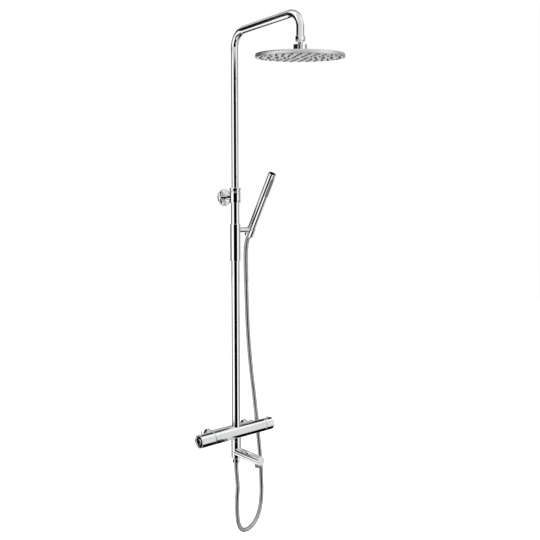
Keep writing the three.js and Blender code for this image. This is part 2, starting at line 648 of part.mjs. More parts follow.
function stripOutline(half, length) {
  const shape = new THREE.Shape();
  const straight = length / 2 - half;
  shape.absarc(0, straight, half, 0, Math.PI, false);
  shape.absarc(0, -straight, half, Math.PI, 2 * Math.PI, false);
  const settings = { depth: 4, bevelEnabled: false, curveSegments: 6 };
  const block = new THREE.ExtrudeGeometry(shape, settings);
  return block.rotateX(Math.PI / 2).translate(0, 0, STRIP_MIDDLE);
}

const HOSE_MOUTH = 10.5; // the nut's mouth flares to this, so the hose may lean in it

const hoseNut = turned([[HOSE_MOUTH, STICK_FOOT], [11.2, STICK_FOOT], [11.6, STICK_FOOT + 0.4],
  [11.6, 1.5], [HOSE_BORE, 1.5], [HOSE_BORE, STICK_FOOT + 9], [HOSE_MOUTH, STICK_FOOT]]);
add('holder_cradle', chrome, cradle(), stick);
add('handset_hose_nut', chrome, hoseNut, stick);
add('handset_body', chrome, handsetBody(), stick);
add('handset_top_cap', chrome, turned([[0, STICK_TOP - 10], [9.1, STICK_TOP - 10],
  [9.1, STICK_TOP - 4], [STICK_R, STICK_TOP - 4], [STICK_R, STICK_TOP - 0.8],
  [STICK_R - 0.8, STICK_TOP], [0, STICK_TOP]]), stick);
add('handset_spray_strip', greyPlastic, stripOutline(STRIP_HALF, STRIP_LONG).translate(0, STRIP_Y, 0), stick);

export default root;
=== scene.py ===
import json
import math

import bmesh
import bpy
from mathutils import Matrix, Vector


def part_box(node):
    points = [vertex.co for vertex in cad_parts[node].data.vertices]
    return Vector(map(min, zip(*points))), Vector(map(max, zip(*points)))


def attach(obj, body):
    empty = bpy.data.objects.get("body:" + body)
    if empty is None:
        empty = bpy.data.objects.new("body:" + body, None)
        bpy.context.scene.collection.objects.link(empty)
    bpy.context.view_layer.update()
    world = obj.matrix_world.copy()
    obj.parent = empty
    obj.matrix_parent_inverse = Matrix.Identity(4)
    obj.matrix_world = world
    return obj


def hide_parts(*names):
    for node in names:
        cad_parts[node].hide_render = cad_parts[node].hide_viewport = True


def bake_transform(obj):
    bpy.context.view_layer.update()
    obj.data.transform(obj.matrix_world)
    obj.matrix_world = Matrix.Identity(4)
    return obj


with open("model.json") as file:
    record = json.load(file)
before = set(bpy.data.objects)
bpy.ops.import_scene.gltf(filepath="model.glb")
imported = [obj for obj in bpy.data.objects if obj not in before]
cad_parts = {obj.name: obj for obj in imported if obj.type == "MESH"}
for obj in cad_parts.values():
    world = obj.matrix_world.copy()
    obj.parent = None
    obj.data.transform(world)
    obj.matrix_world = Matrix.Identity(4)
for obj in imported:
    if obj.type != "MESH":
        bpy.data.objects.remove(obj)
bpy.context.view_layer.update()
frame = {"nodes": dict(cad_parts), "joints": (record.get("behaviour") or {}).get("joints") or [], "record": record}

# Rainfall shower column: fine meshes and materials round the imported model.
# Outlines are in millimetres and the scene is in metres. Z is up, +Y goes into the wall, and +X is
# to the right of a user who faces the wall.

MM = 0.001
GAP = 0.3  # millimetres left between pieces that touch


# ---- Places and sizes that come from the frame --------------------------------------------------

def middle(node):
    low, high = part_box(node)
    return (low + high) / 2


def reach(node, axis):
    low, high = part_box(node)
    return low[axis] / MM, high[axis] / MM


JOINTS = {joint["name"]: joint for joint in frame["joints"]}
BODY_OF = {
    node: body
    for body, nodes in frame["record"]["behaviour"]["bodies"].items()
    for node in nodes
}
SLOT_OF = {part["node"]: part["material_slot"] for part in frame["record"]["subparts"]}

COLUMN_Y = middle("riser_lower_tube").y / MM
BAR_Z = middle("temperature_end_cap").z / MM
BALL = Vector(JOINTS["head_tilt"]["pos_m"]) / MM
TILT_AXIS = Vector(JOINTS["head_tilt"]["axis"])
HOLDER = Vector(JOINTS["holder_tilt"]["pos_m"]) / MM
STICK_AXIS = Vector(JOINTS["handset_spin"]["axis"])
HEAD_TILT = math.radians(8)
ARM_Z = BALL.z + 79.5

# ---- Camera -------------------------------------------------------------------------------------

HEADING = math.radians(41)  # the camera looks this far clockwise from +Y
PITCH = math.radians(4.6)  # and this far down
AHEAD = Vector((math.sin(HEADING), math.cos(HEADING), 0))
ACROSS = Vector((math.cos(HEADING), -math.sin(HEADING), 0))
EYE_BACK, EYE_RIGHT, EYE_ABOVE_BAR = 2.082, 0.110, 0.695


def make_camera():
    data = bpy.data.cameras.new("camera")
    data.sensor_width = 36
    data.lens = 43.73
    data.clip_start = 0.05
    data.clip_end = 100
    camera = bpy.data.objects.new("camera", data)
    bpy.context.scene.collection.objects.link(camera)
    bar = Vector((0, COLUMN_Y, BAR_Z)) * MM
    camera.location = bar - AHEAD * EYE_BACK + ACROSS * EYE_RIGHT + Vector((0, 0, EYE_ABOVE_BAR))
    camera.rotation_euler = (math.pi / 2 - PITCH, 0, -HEADING)
    bpy.context.scene.camera = camera
    bpy.context.scene.view_settings.view_transform = "Standard"


make_camera()


# ---- Materials ----------------------------------------------------------------------------------

class Nodes:
    """Adds nodes to one tree and links them by name."""

    def __init__(self, tree):
        self.tree = tree

    def add(self, kind, inputs=None, **settings):
        node = self.tree.nodes.new(kind)
        for name, value in settings.items():
            setattr(node, name, value)
        for name, value in (inputs or {}).items():
            self.set(node.inputs[name], value)
        return node

    def set(self, socket, value):
        if isinstance(value, bpy.types.NodeSocket):
            self.tree.links.new(value, socket)
        else:
            socket.default_value = value

    def math(self, operation, a, b=0.0, c=0.0):
        node = self.add("ShaderNodeMath", operation=operation)
        for socket, value in zip(node.inputs, (a, b, c)):
            self.set(socket, value)
        return node.outputs[0]

    def noise(self, scale, detail=3.0, vector=None, rough=0.55):
        inputs = {"Scale": scale, "Detail": detail, "Roughness": rough}
        if vector is not None:
            inputs["Vector"] = vector
        return self.add("ShaderNodeTexNoise", inputs).outputs["Fac"]

    def spread(self, value, low, high, from_low=0.0, from_high=1.0, smooth=False):
        node = self.add(
            "ShaderNodeMapRange",
            {"Value": value, "From Min": from_low, "From Max": from_high,
             "To Min": low, "To Max": high},
            interpolation_type="SMOOTHSTEP" if smooth else "LINEAR",
        )
        return node.outputs["Result"]

    def tint(self, value, low, high):
        node = self.add("ShaderNodeMix", data_type="RGBA")
        self.set(node.inputs["Factor"], value)
        self.set(node.inputs[6], (*low, 1))
        self.set(node.inputs[7], (*high, 1))
        return node.outputs[2]

    def bump(self, height, strength, distance):
        inputs = {"Height": height, "Strength": strength, "Distance": distance}
        return self.add("ShaderNodeBump", inputs).outputs["Normal"]


def material(name, metallic, build, **constants):
    """A Principled material; build(nodes, place) gives its linked inputs."""
    made = bpy.data.materials.new(name)
    made.use_nodes = True
    nodes = Nodes(made.node_tree)
    shader = made.node_tree.nodes["Principled BSDF"]
    shader.inputs["Metallic"].default_value = metallic
    for socket, value in constants.items():
        shader.inputs[socket.replace("_", " ")].default_value = value
    place = nodes.add("ShaderNodeTexCoord").outputs["Object"]
    for socket, value in build(nodes, place).items():
        nodes.set(shader.inputs[socket], value)
    return made


def chrome_look(nodes, place):
    haze = nodes.noise(14, 5, place)
    wipe = nodes.noise(900, 2, place)
    return {
        "Base Color": nodes.tint(haze, (0.83, 0.845, 0.86), (0.93, 0.935, 0.94)),
        "Roughness": nodes.spread(haze, 0.025, 0.075, 0.3, 0.7),
        "Normal": nodes.bump(wipe, 0.02, 0.00002),
    }


def hose_look(nodes, place):
    haze = nodes.noise(60, 4, place)
    return {
        "Base Color": nodes.tint(haze, (0.38, 0.39, 0.40), (0.64, 0.65, 0.66)),
        "Roughness": nodes.spread(haze, 0.03, 0.09),
    }


def spray_plate_look(nodes, place):
    brushed = nodes.noise(420, 3, place)
    haze = nodes.noise(18, 4, place)
    return {
        "Base Color": nodes.tint(haze, (0.84, 0.845, 0.85), (0.93, 0.935, 0.94)),
        "Roughness": nodes.spread(brushed, 0.2, 0.32),
        "Normal": nodes.bump(brushed, 0.08, 0.00005),
    }


def satin_look(nodes, place):
    brushed = nodes.noise(520, 3, place)
    haze = nodes.noise(22, 4, place)
    return {
        "Base Color": nodes.tint(haze, (0.80, 0.805, 0.81), (0.88, 0.885, 0.89)),
        "Roughness": nodes.spread(brushed, 0.4, 0.52),
        "Normal": nodes.bump(brushed, 0.06, 0.00004),
    }


def steel_look(nodes, place):
    grain = nodes.noise(700, 3, place)
    return {
        "Base Color": nodes.tint(grain, (0.46, 0.47, 0.48), (0.66, 0.67, 0.68)),
        "Roughness": nodes.spread(grain, 0.25, 0.42),
        "Normal": nodes.bump(grain, 0.1, 0.00005),
    }


def brass_look(nodes, place):
    stain = nodes.noise(90, 5, place)
    turned_lines = nodes.noise(1400, 2, place)
    return {
        "Base Color": nodes.tint(stain, (0.42, 0.27, 0.09), (0.74, 0.53, 0.23)),
        "Roughness": nodes.spread(stain, 0.24, 0.45),
        "Normal": nodes.bump(turned_lines, 0.12, 0.00005),
    }


def plastic_look(low, high, roughness):
    def build(nodes, place):
        grain = nodes.noise(260, 4, place)
        pores = nodes.noise(2600, 2, place)
        return {
            "Base Color": nodes.tint(grain, low, high),
            "Roughness": nodes.spread(grain, roughness - 0.06, roughness + 0.08),
            "Normal": nodes.bump(pores, 0.15, 0.00004),
        }
    return build


MATERIALS = {
    "chrome": material("chrome", 1.0, chrome_look),
    "steel": material("steel", 1.0, steel_look),
    "spray_plate": material("spray_plate", 1.0, spray_plate_look),
    "hose_steel": material("hose_steel", 1.0, hose_look),
    "brass": material("brass", 1.0, brass_look),
    "white_plastic": material(
        "white_plastic", 0.0, plastic_look((0.72, 0.71, 0.67), (0.82, 0.81, 0.78), 0.42)),
    "grey_plastic": material(
        "grey_plastic", 0.0, plastic_look((0.10, 0.105, 0.11), (0.17, 0.175, 0.18), 0.45)),
    "rubber": material(
        "rubber", 0.0, plastic_look((0.012, 0.012, 0.012), (0.03, 0.03, 0.03), 0.68)),
    "satin_shell": material("satin_shell", 1.0, satin_look),
    "silicone": material(
        "silicone", 0.0, plastic_look((0.014, 0.015, 0.017), (0.035, 0.037, 0.04), 0.62)),
}


# ---- Mesh helpers -------------------------------------------------------------------------------

BIG, ORDINARY, SMALL = 128, 72, 32  # sides of turned pieces
SHARP = math.radians(38)


def moved(x=0.0, y=0.0, z=0.0):
    return Matrix.Translation((x, y, z))


def turn(angle, axis):
    return Matrix.Rotation(angle, 4, axis)


# Turned pieces are made with their height along Z; these turn the height another way.
FROM_WALL = turn(math.pi / 2, "X")  # out from the wall, along -Y
TO_WALL = turn(-math.pi / 2, "X")
TO_RIGHT = turn(math.pi / 2, "Y")
TO_LEFT = turn(-math.pi / 2, "Y")


def fillet(outline, radius, steps=4):
    """The outline with its corners rounded; a corner at an open end stays as it is."""
    closed = outline[0] == outline[-1]
    points = [Vector(p) for p in (outline[:-1] if closed else outline)]
    rounded = []
    for i, corner in enumerate(points):
        if not closed and i in (0, len(points) - 1):
            rounded.append(corner)
            continue
        to_last = points[i - 1] - corner
        to_next = points[(i + 1) % len(points)] - corner
        bend = to_last.angle(to_next)
        room = 0.45 * min(to_last.length, to_next.length)
        back = min(radius / math.tan(bend / 2), room) if bend > 0.02 else 0
        if bend > math.radians(168) or back < 0.02:
            rounded.append(corner)
            continue
        start = corner + to_last.normalized() * back
        end = corner + to_next.normalized() * back
        for k in range(steps + 1):
            t = k / steps
            rounded.append(start * (1 - t) ** 2 + corner * 2 * t * (1 - t) + end * t * t)
    return rounded, closed


def arc(centre_r, centre_z, radius, start, end, count):
    angles = [math.radians(start + (end - start) * i / count) for i in range(count + 1)]
    return [(centre_r + radius * math.cos(a), centre_z + radius * math.sin(a)) for a in angles]


def shade(mesh):
    """Smooth shading that breaks at real edges."""
    work = bmesh.new()
    work.from_mesh(mesh)
    for edge in work.edges:
        edge.smooth = len(edge.link_faces) == 2 and edge.calc_face_angle(0) < SHARP
    for face in work.faces:
        face.smooth = True
    work.to_mesh(mesh)
    work.free()


def as_object(name, work, place=Matrix.Identity(4)):
    """Turns a bmesh in millimetres into an object in metres, standing at place."""
    bmesh.ops.transform(work, matrix=place, verts=work.verts)
    bmesh.ops.recalc_face_normals(work, faces=work.faces)
    bmesh.ops.scale(work, vec=(MM, MM, MM), verts=work.verts)
    mesh = bpy.data.meshes.new(name)
    work.to_mesh(mesh)
    work.free()
    shade(mesh)
    made = bpy.data.objects.new(name, mesh)
    bpy.context.scene.collection.objects.link(made)
    return made


def loft(work, rows, closed):
    """Joins rings of vertices; a ring of one vertex is a pole."""
    pairs = list(zip(rows, rows[1:]))
    if closed:
        pairs.append((rows[-1], rows[0]))
    for low, high in pairs:
        count = max(len(low), len(high))
        for i in range(count):
            j = (i + 1) % count
            corners = [low[i % len(low)], low[j % len(low)], high[j % len(high)], high[i % len(high)]]
            face = list(dict.fromkeys(corners))
            if len(face) > 2:
                work.faces.new(face)


def stations(points, step):
    """The outline with extra points along its long straight runs."""
    out = [points[0]]
    for a, b in zip(points, points[1:]):
        count = max(1, round((b - a).length / step))
        out += [a.lerp(b, k / count) for k in range(1, count + 1)]
    return out


def turned(name, outline, place=Matrix.Identity(4), edge=0.35, sides=ORDINARY, step=None):
    points, closed = fillet(outline, edge)
    if step:
        points = stations(points, step)
    work = bmesh.new()
    rows = []
    for radius, height in points:
        if radius < 1e-6:
            rows.append([work.verts.new((0, 0, height))])
            continue
        angles = [2 * math.pi * i / sides for i in range(sides)]
        rows.append([
            work.verts.new((radius * math.cos(a), radius * math.sin(a), height)) for a in angles
        ])
    loft(work, rows, closed)
    return as_object(name, work, place)


def rod(name, radius, low, high, place=Matrix.Identity(4), sides=ORDINARY, edge=0.0):
    outline = [(0, low), (radius, low), (radius, high), (0, high)]
    return turned(name, outline, place, edge, sides)


def ring(name, inner, outer, low, high, place=Matrix.Identity(4), edge=0.3, sides=ORDINARY,
         step=None):
    outline = [(inner, low), (outer, low), (outer, high), (inner, high), (inner, low)]
    return turned(name, outline, place, edge, sides, step)


def carve(target, operation, *tools):
    """Joins or cuts solids with exact booleans, and removes the tools."""
    for tool in tools:
        step = target.modifiers.new("step", "BOOLEAN")
        step.operation = operation
        step.solver = "EXACT"
        step.object = tool
        bpy.context.view_layer.update()
        seen = target.evaluated_get(bpy.context.evaluated_depsgraph_get())
        mesh = bpy.data.meshes.new_from_object(seen)
        target.modifiers.clear()
        target.data = mesh
        bpy.data.objects.remove(tool)
    shade(target.data)
    return target


def merged(name, pieces):
    """One object of several separate solids."""
    work = bmesh.new()
    for piece in pieces:
        work.from_mesh(piece.data)
        bpy.data.objects.remove(piece)
    mesh = bpy.data.meshes.new(name)
    work.to_mesh(mesh)
    work.free()
    shade(mesh)
    made = bpy.data.objects.new(name, mesh)
    bpy.context.scene.collection.objects.link(made)
    return made


def dress(piece, node, look=None):
    """The piece stands for a CAD node: same slot, and the slot's material unless it has its own."""
    piece.data.materials.clear()
    piece.data.materials.append(MATERIALS[look or SLOT_OF[node]])
    weigh = piece.modifiers.new("even normals", "WEIGHTED_NORMAL")
    weigh.keep_sharp = True
    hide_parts(node)


def stand_for(piece, node, look=None):
    dress(piece, node, look)
    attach(piece, BODY_OF[node])


# ---- Hose ---------------------------------------------------------------------------------------

HOSE_R = 7.0
HOSE_ROUTE = [
    (63.7, -46.9, -124.8), (63.7, -41.5, -133.8), (63.7, -36.5, -146), (63.7, -33, -165),
    (64, -31, -200), (66.5, -29.5, -260), (70, -27.5, -330), (75.5, -25, -410), (84, -22.5, -495),
    (95, -20.5, -580), (107.5, -19, -660), (115.5, -18.7, -720), (120.5, -19, -759),
    (124, -20.5, -800), (127, -24, -850), (128, -29, -900), (127, -33.5, -950), (124.5, -38, -1000),
    (117, -42, -1040), (101, -46.5, -1074), (77, -50, -1096), (49, -53, -1103.5), (25, -55, -1096),
    (9.5, -56.5, -1070), (3.5, -57.5, -1030), (3, -58, -985), (5.5, -58, -945), (2.5, -58, -908),
    (0, -58, -880), (0, -58, -858.3),
]
HOSE_PITCH = 3.4  # one turn of the wound strip
RINGS_PER_TURN = 6
HOSE_SIDES = 20
GROOVE = 0.3
END_ROUNDING = (2.0, 0.9, 0.3)  # taken off the last three rings at both ends


def catmull_rom(route, per_span=24):
    """A smooth curve through the points, centripetal, as a dense list."""
    points = [Vector(p) for p in route]
    points = [2 * points[0] - points[1], *points, 2 * points[-1] - points[-2]]
    line = []
    for p0, p1, p2, p3 in zip(points, points[1:], points[2:], points[3:]):
        t1 = (p1 - p0).length ** 0.5
        t2 = t1 + (p2 - p1).length ** 0.5
        t3 = t2 + (p3 - p2).length ** 0.5
        for k in range(per_span):
            t = t1 + (t2 - t1) * k / per_span
            a1 = p0 * ((t1 - t) / t1) + p1 * (t / t1)
            a2 = p1 * ((t2 - t) / (t2 - t1)) + p2 * ((t - t1) / (t2 - t1))
            a3 = p2 * ((t3 - t) / (t3 - t2)) + p3 * ((t - t2) / (t3 - t2))
            b1 = a1 * ((t2 - t) / t2) + a2 * (t / t2)
            b2 = a2 * ((t3 - t) / (t3 - t1)) + a3 * ((t - t1) / (t3 - t1))
            line.append(b1 * ((t2 - t) / (t2 - t1)) + b2 * ((t - t1) / (t2 - t1)))
    line.append(points[-2])
    return line


def evenly(line, step):
    """Points a fixed step apart along a line, with both ends."""
    lengths = [0.0]
    for a, b in zip(line, line[1:]):
        lengths.append(lengths[-1] + (b - a).length)
    count = max(2, round(lengths[-1] / step))
    out = []
    i = 0
    for k in range(count + 1):
        along = lengths[-1] * k / count
        while i < len(line) - 2 and lengths[i + 1] < along:
            i += 1
        share = (along - lengths[i]) / (lengths[i + 1] - lengths[i])
        out.append(line[i].lerp(line[i + 1], min(share, 1.0)))
    return out, lengths[-1]


def frames_along(line):
    """For each point, two directions across the line that don't twist."""
    tangents = [
        (line[min(i + 1, len(line) - 1)] - line[max(i - 1, 0)]).normalized()
        for i in range(len(line))
    ]
    side = tangents[0].orthogonal().normalized()
    out = []
    for tangent in tangents:
        side = (side - tangent * side.dot(tangent)).normalized()
        out.append((side, tangent.cross(side)))
    return out


def make_hose():
    line, length = evenly(catmull_rom(HOSE_ROUTE), HOSE_PITCH / RINGS_PER_TURN)
    work = bmesh.new()
    rows = [[work.verts.new(line[0])]]
    last = len(line) - 1
    for k, (point, (side, up)) in enumerate(zip(line, frames_along(line))):
        row = []
        from_end = min(k, last - k)
        for i in range(HOSE_SIDES):
            angle = 2 * math.pi * i / HOSE_SIDES
            phase = 2 * math.pi * (k / RINGS_PER_TURN) - angle
            depth = GROOVE * (0.5 - 0.5 * math.cos(phase)) ** 2.5
            if from_end < len(END_ROUNDING):
                depth = END_ROUNDING[from_end]
            radius = HOSE_R - depth
            row.append(work.verts.new(
                point + side * (radius * math.cos(angle)) + up * (radius * math.sin(angle))))
        rows.append(row)
    rows.append([work.verts.new(line[-1])])
    loft(work, rows, False)
    hose = as_object("metal_hose", work)
    for edge in hose.data.edges:
        edge.use_edge_sharp = False
    dress(hose, "shower_hose")
    hose.modifiers.clear()
    foot = Vector((0, COLUMN_Y, BAR_Z - 101)) * MM
    top = foot.copy()
    top.z = HOSE_ROUTE[0][2] * MM
    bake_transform(hose)


make_hose()


# ---- Wall bracket -------------------------------------------------------------------------------

PLATE_R, PLATE_THICK = 22, 3.2
BOSS_R, BOSS_END = 6.5, 12  # the stub slides over this boss
SCREW_HOLE_X = 14
LOWER_WAY, UPPER_WAY = 13.3, 11.3  # bores round the riser's lower and upper tube
STUB_SCREW_Y, GRUB_Z = -9.5, -14


def make_wall_plate():
    plate = turned("wall_plate_fine", [
        (0, 0), (PLATE_R, 0), (PLATE_R, PLATE_THICK), (BOSS_R, PLATE_THICK), (BOSS_R, BOSS_END),
        (0, BOSS_END)], FROM_WALL)
    for side in (-1, 1):
        hole = turned("hole", [(0, -1), (2.5, -1), (2.5, 1.2), (4.6, 3.3), (4.6, 4), (0, 4)],
                      moved(SCREW_HOLE_X * side) @ FROM_WALL, 0, SMALL)
        carve(plate, "DIFFERENCE", hole)
    stand_for(plate, "wall_plate")


def make_escutcheon():
    dome = [(26.9 - 17.6 * t, 4.9 + 2.3 * math.sin(t * math.pi / 2)) for t in
            [0.06, 0.2, 0.4, 0.6, 0.8, 1.0]]
    outline = [(25.4, GAP), (27, GAP), (27, 4.2), *dome, (9.3, 6), (25.4, 4.2), (25.4, GAP)]
    stand_for(turned("wall_escutcheon_fine", outline, FROM_WALL, 1.2, BIG), "wall_escutcheon")


def make_bracket():
    at = moved(0, COLUMN_Y)
    collar = turned("wall_bracket_fine", [
        (LOWER_WAY, -19), (17, -19), (17, 13), (15.5, 13.4), (15.5, 17), (13.5, 17), (13.5, 23),
        (UPPER_WAY, 23), (UPPER_WAY, 10.3), (LOWER_WAY, 10.3), (LOWER_WAY, -19)], at, 0.6, BIG, 3)
    stub = ring("stub", 6.8, 9, 3.6, 44, FROM_WALL, 0.3, ORDINARY, 4)
    carve(stub, "DIFFERENCE", rod("bore", 14.5, -19, 10, at))
    carve(collar, "UNION", stub)
    carve(collar, "DIFFERENCE",
          rod("screw way", 2.3, -12, -4, moved(0, STUB_SCREW_Y), SMALL),
          rod("grub way", 2.8, 6, 25, moved(0, COLUMN_Y, GRUB_Z) @ FROM_WALL, SMALL))
    stand_for(collar, "wall_bracket")


def socket_screw(name, radius, length, place):
    screw = rod(name, radius, 0, length, place, SMALL, 0.25)
    key = rod("key", radius * 0.55, length - 1.6, length + 1, place, 6)
    return carve(screw, "DIFFERENCE", key)


def make_bracket_screws():
    stub = socket_screw("stub_set_screw_fine", 2, 2.2,
                        moved(0, STUB_SCREW_Y, -6.8) @ turn(math.pi, "X"))
    stand_for(stub, "stub_set_screw")
    grub = socket_screw("collar_grub_screw_fine", 2.5, 3.6,
                        moved(0, COLUMN_Y - LOWER_WAY, GRUB_Z) @ FROM_WALL)
    stand_for(grub, "collar_grub_screw")


def make_clamp_ring():
    outline = [(13.8, 17.3), (16.4, 17.3), (16.6, 19.4), (17.6, 22.4), (17.6, 27), (16.8, 28),
               (UPPER_WAY, 28), (UPPER_WAY, 26), (13.8, 26), (13.8, 17.3)]
    stand_for(turned("clamp_ring_fine", outline, moved(0, COLUMN_Y), 0.5, BIG), "clamp_ring")


# ---- Riser --------------------------------------------------------------------------------------

LOWER_R, LOWER_BORE = 13, 11.4
UPPER_R, UPPER_BORE = 11, 9.3
UPPER_END = 73.7  # below the arm's axis
BEND_R = 46
REACH = COLUMN_Y - BALL.y
BEND_STEPS = 20


def arm_line():
    """Middle line of the upper tube, with its stations close together in the bends."""
    low, _ = reach("riser_upper_tube", 2)
    points = [Vector((0, COLUMN_Y, low)), Vector((0, COLUMN_Y, low + 2))]
    angles = [math.pi / 2 * i / BEND_STEPS for i in range(BEND_STEPS + 1)]
    corner = ARM_Z - BEND_R
    points += [Vector((0, COLUMN_Y - BEND_R * (1 - math.cos(a)), corner + BEND_R * math.sin(a)))
               for a in angles]
    end_y = COLUMN_Y - REACH
    points += [Vector((0, end_y + BEND_R * (1 - math.sin(a)), corner + BEND_R * math.cos(a)))
               for a in angles]
    points += [Vector((0, end_y, ARM_Z - 71)), Vector((0, end_y, ARM_Z - UPPER_END))]
    return points


def pipe(name, line, outer, inner, sides=ORDINARY):
    """A hollow tube along a line."""
    work = bmesh.new()
    across = frames_along(line)

    def rings(radius):
        rows = []
        for point, (side, up) in zip(line, across):
            angles = [2 * math.pi * i / sides for i in range(sides)]
            rows.append([work.verts.new(
                point + side * (radius * math.cos(a)) + up * (radius * math.sin(a))) for a in angles])
        return rows

    loft(work, rings(outer) + rings(inner)[::-1], True)
    return as_object(name, work)


def make_riser():
    at = moved(0, COLUMN_Y)
    low, high = reach("riser_lower_tube", 2)
    stand_for(ring("riser_lower_tube_fine", LOWER_BORE, LOWER_R, low, high, at, 0.3, BIG),
              "riser_lower_tube")
    stand_for(pipe("riser_upper_tube_fine", arm_line(), UPPER_R, UPPER_BORE, BIG),
              "riser_upper_tube")


# ---- Ball joint and overhead shower -------------------------------------------------------------

JOINT_AT = Matrix.Translation(BALL)
HEAD_AT = JOINT_AT @ Matrix.Rotation(HEAD_TILT, 4, TILT_AXIS)
HEAD_R = 125
HEAD_TOP, HEAD_FACE = -36.8, -48.1
PLATE_TOP = HEAD_FACE + 1.6
RIM_R = 122
BALL_R = 10.5
STEM_LOW = -22
BOSS_TOP = -12.5
PLATE_BEVEL = 0.15
NOZZLE_RINGS, NOZZLE_PITCH = 5, 22.2
NOZZLES_PER_RING = 6  # times the ring's number
NOZZLE_HOLE_R, NOZZLE_ROOT_R, NOZZLE_TIP_R = 3.4, 2.9, 2.2


def nozzle_places():
    return [
        (NOZZLE_PITCH * k * math.cos(2 * math.pi * i / (NOZZLES_PER_RING * k)),
         NOZZLE_PITCH * k * math.sin(2 * math.pi * i / (NOZZLES_PER_RING * k)))
        for k in range(1, NOZZLE_RINGS + 1) for i in range(NOZZLES_PER_RING * k)
    ]


def make_ball_joint():
    nut = turned("ball_joint_nut_fine", [
        (10.15, -3.5), (13.5, -3.5), (13.5, 8.5), (11.3, 8.5), (11.3, 5.5), (11.9, 5.5),
        (11.9, 0), (10.9, -0.5), (10.15, -3.5)], JOINT_AT, 0.7, BIG)
    stand_for(nut, "ball_joint_nut")
    ball = turned("head_ball_fine", [
        (3.5, STEM_LOW), (7, STEM_LOW), *arc(0, 0, BALL_R, -48, 31.6, 20), (3.5, 5.5),
        (3.5, STEM_LOW)], HEAD_AT, 0.2, BIG)
    stand_for(ball, "head_ball")
    boss = turned("head_boss_fine", [
        (4, HEAD_TOP + GAP), (19, HEAD_TOP + GAP), (19, BOSS_TOP), (7.3, BOSS_TOP),
        (7.3, STEM_LOW - GAP), (4, STEM_LOW - GAP), (4, HEAD_TOP + GAP)], HEAD_AT, 1.1, BIG)
    stand_for(boss, "head_boss")


def make_head_shell():
    outline = [(6, HEAD_TOP), *arc(HEAD_R - 4, HEAD_TOP - 4, 4, 90, 0, 10),
               *arc(HEAD_R - 1.6, HEAD_FACE + 1.6, 1.6, 0, -90, 6), (RIM_R + GAP, HEAD_FACE),
               (RIM_R + GAP, HEAD_TOP - 4), (RIM_R - 3, HEAD_TOP - 1.6), (6, HEAD_TOP - 1.6),
               (6, HEAD_TOP)]
    shell = turned("head_shell_fine", outline, HEAD_AT, 0.2, 192)
    stand_for(shell, "head_shell", "satin_shell")


def make_spray_plate():
    """A disc with a bevelled hole for each nozzle, as a filled curve turned into a mesh."""
    curve = bpy.data.curves.new("plate outline", "CURVE")
    curve.dimensions = "2D"
    curve.fill_mode = "BOTH"
    curve.extrude = (PLATE_TOP - HEAD_FACE) / 2 - PLATE_BEVEL
    curve.bevel_depth = PLATE_BEVEL
    curve.bevel_resolution = 1
    circles = [(0, 0, RIM_R - GAP - PLATE_BEVEL, 160)]
    circles += [(x, y, NOZZLE_HOLE_R, 20) for x, y in nozzle_places()]
    for x, y, radius, sides in circles:
        spline = curve.splines.new("POLY")
        spline.points.add(sides - 1)
        for i, point in enumerate(spline.points):
            angle = 2 * math.pi * i / sides
            point.co = (x + radius * math.cos(angle), y + radius * math.sin(angle), 0, 1)
        spline.use_cyclic_u = True
    flat = bpy.data.objects.new("plate outline", curve)
    bpy.context.scene.collection.objects.link(flat)
    bpy.context.view_layer.update()
    seen = flat.evaluated_get(bpy.context.evaluated_depsgraph_get())
    work = bmesh.new()
    work.from_mesh(bpy.data.meshes.new_from_object(seen))
    bmesh.ops.remove_doubles(work, verts=work.verts, dist=0.01)
    bpy.data.objects.remove(flat)
    plate = as_object("head_spray_plate_fine", work,
                      HEAD_AT @ moved(z=(PLATE_TOP + HEAD_FACE) / 2))
    stand_for(plate, "head_spray_plate")


def make_nozzles():
    """The silicone mat behind the plate, and its nozzles, each with a bore at its tip."""
    mat = rod("mat", NOZZLE_PITCH * NOZZLE_RINGS + 4, PLATE_TOP + GAP, PLATE_TOP + 2, HEAD_AT, BIG, 0.4)
    tip = HEAD_FACE - 1.6
    outline = [(0, tip + 0.9), (0.6, tip + 0.9), (0.6, tip), (NOZZLE_TIP_R, tip),
               (NOZZLE_ROOT_R, HEAD_FACE - 0.2), (NOZZLE_ROOT_R, PLATE_TOP + 0.2),
               (0, PLATE_TOP + 0.2)]
    nozzles = [turned("nozzle", outline, HEAD_AT @ moved(x, y), 0.25, 16)
               for x, y in nozzle_places()]
    stand_for(merged("head_nozzle_mat_fine", [mat, *nozzles]), "head_nozzle_mat")


# ---- Mixer bar ----------------------------------------------------------------------------------

BAR_AT = moved(0, COLUMN_Y, BAR_Z)
BAR_R = 21
BAR_END = 147
BODY_LEFT, BODY_RIGHT = -94, 114.5
CARTRIDGE_BORE = 16.3
BLOCK_LEFT, BLOCK_RIGHT, BLOCK_HALF = -92, 104, 9
BLOCK_BACK = 45
WALL = -COLUMN_Y
INLET_X = 75
SPIGOT_END = 49.3
INLET_NUT_R, INLET_NUT_BORE, INLET_NUT_NECK = 14.4, 10.4, 8.4
CORE_WAY = 9.3  # bore round the outlet core
CHAMFER = 0.9  # on both sides of the groove between the bar and each handle


def rounded_box(name, low, high, edge, place):
    work = bmesh.new()
    bmesh.ops.create_cube(work, size=1)
    size = [b - a for a, b in zip(low, high)]
    bmesh.ops.scale(work, vec=size, verts=work.verts)
    bmesh.ops.translate(work, vec=[(a + b) / 2 for a, b in zip(low, high)], verts=work.verts)
    bmesh.ops.bevel(work, geom=work.edges[:], offset=edge, segments=4, profile=0.5,
                    affect="EDGES")
    return as_object(name, work, place)


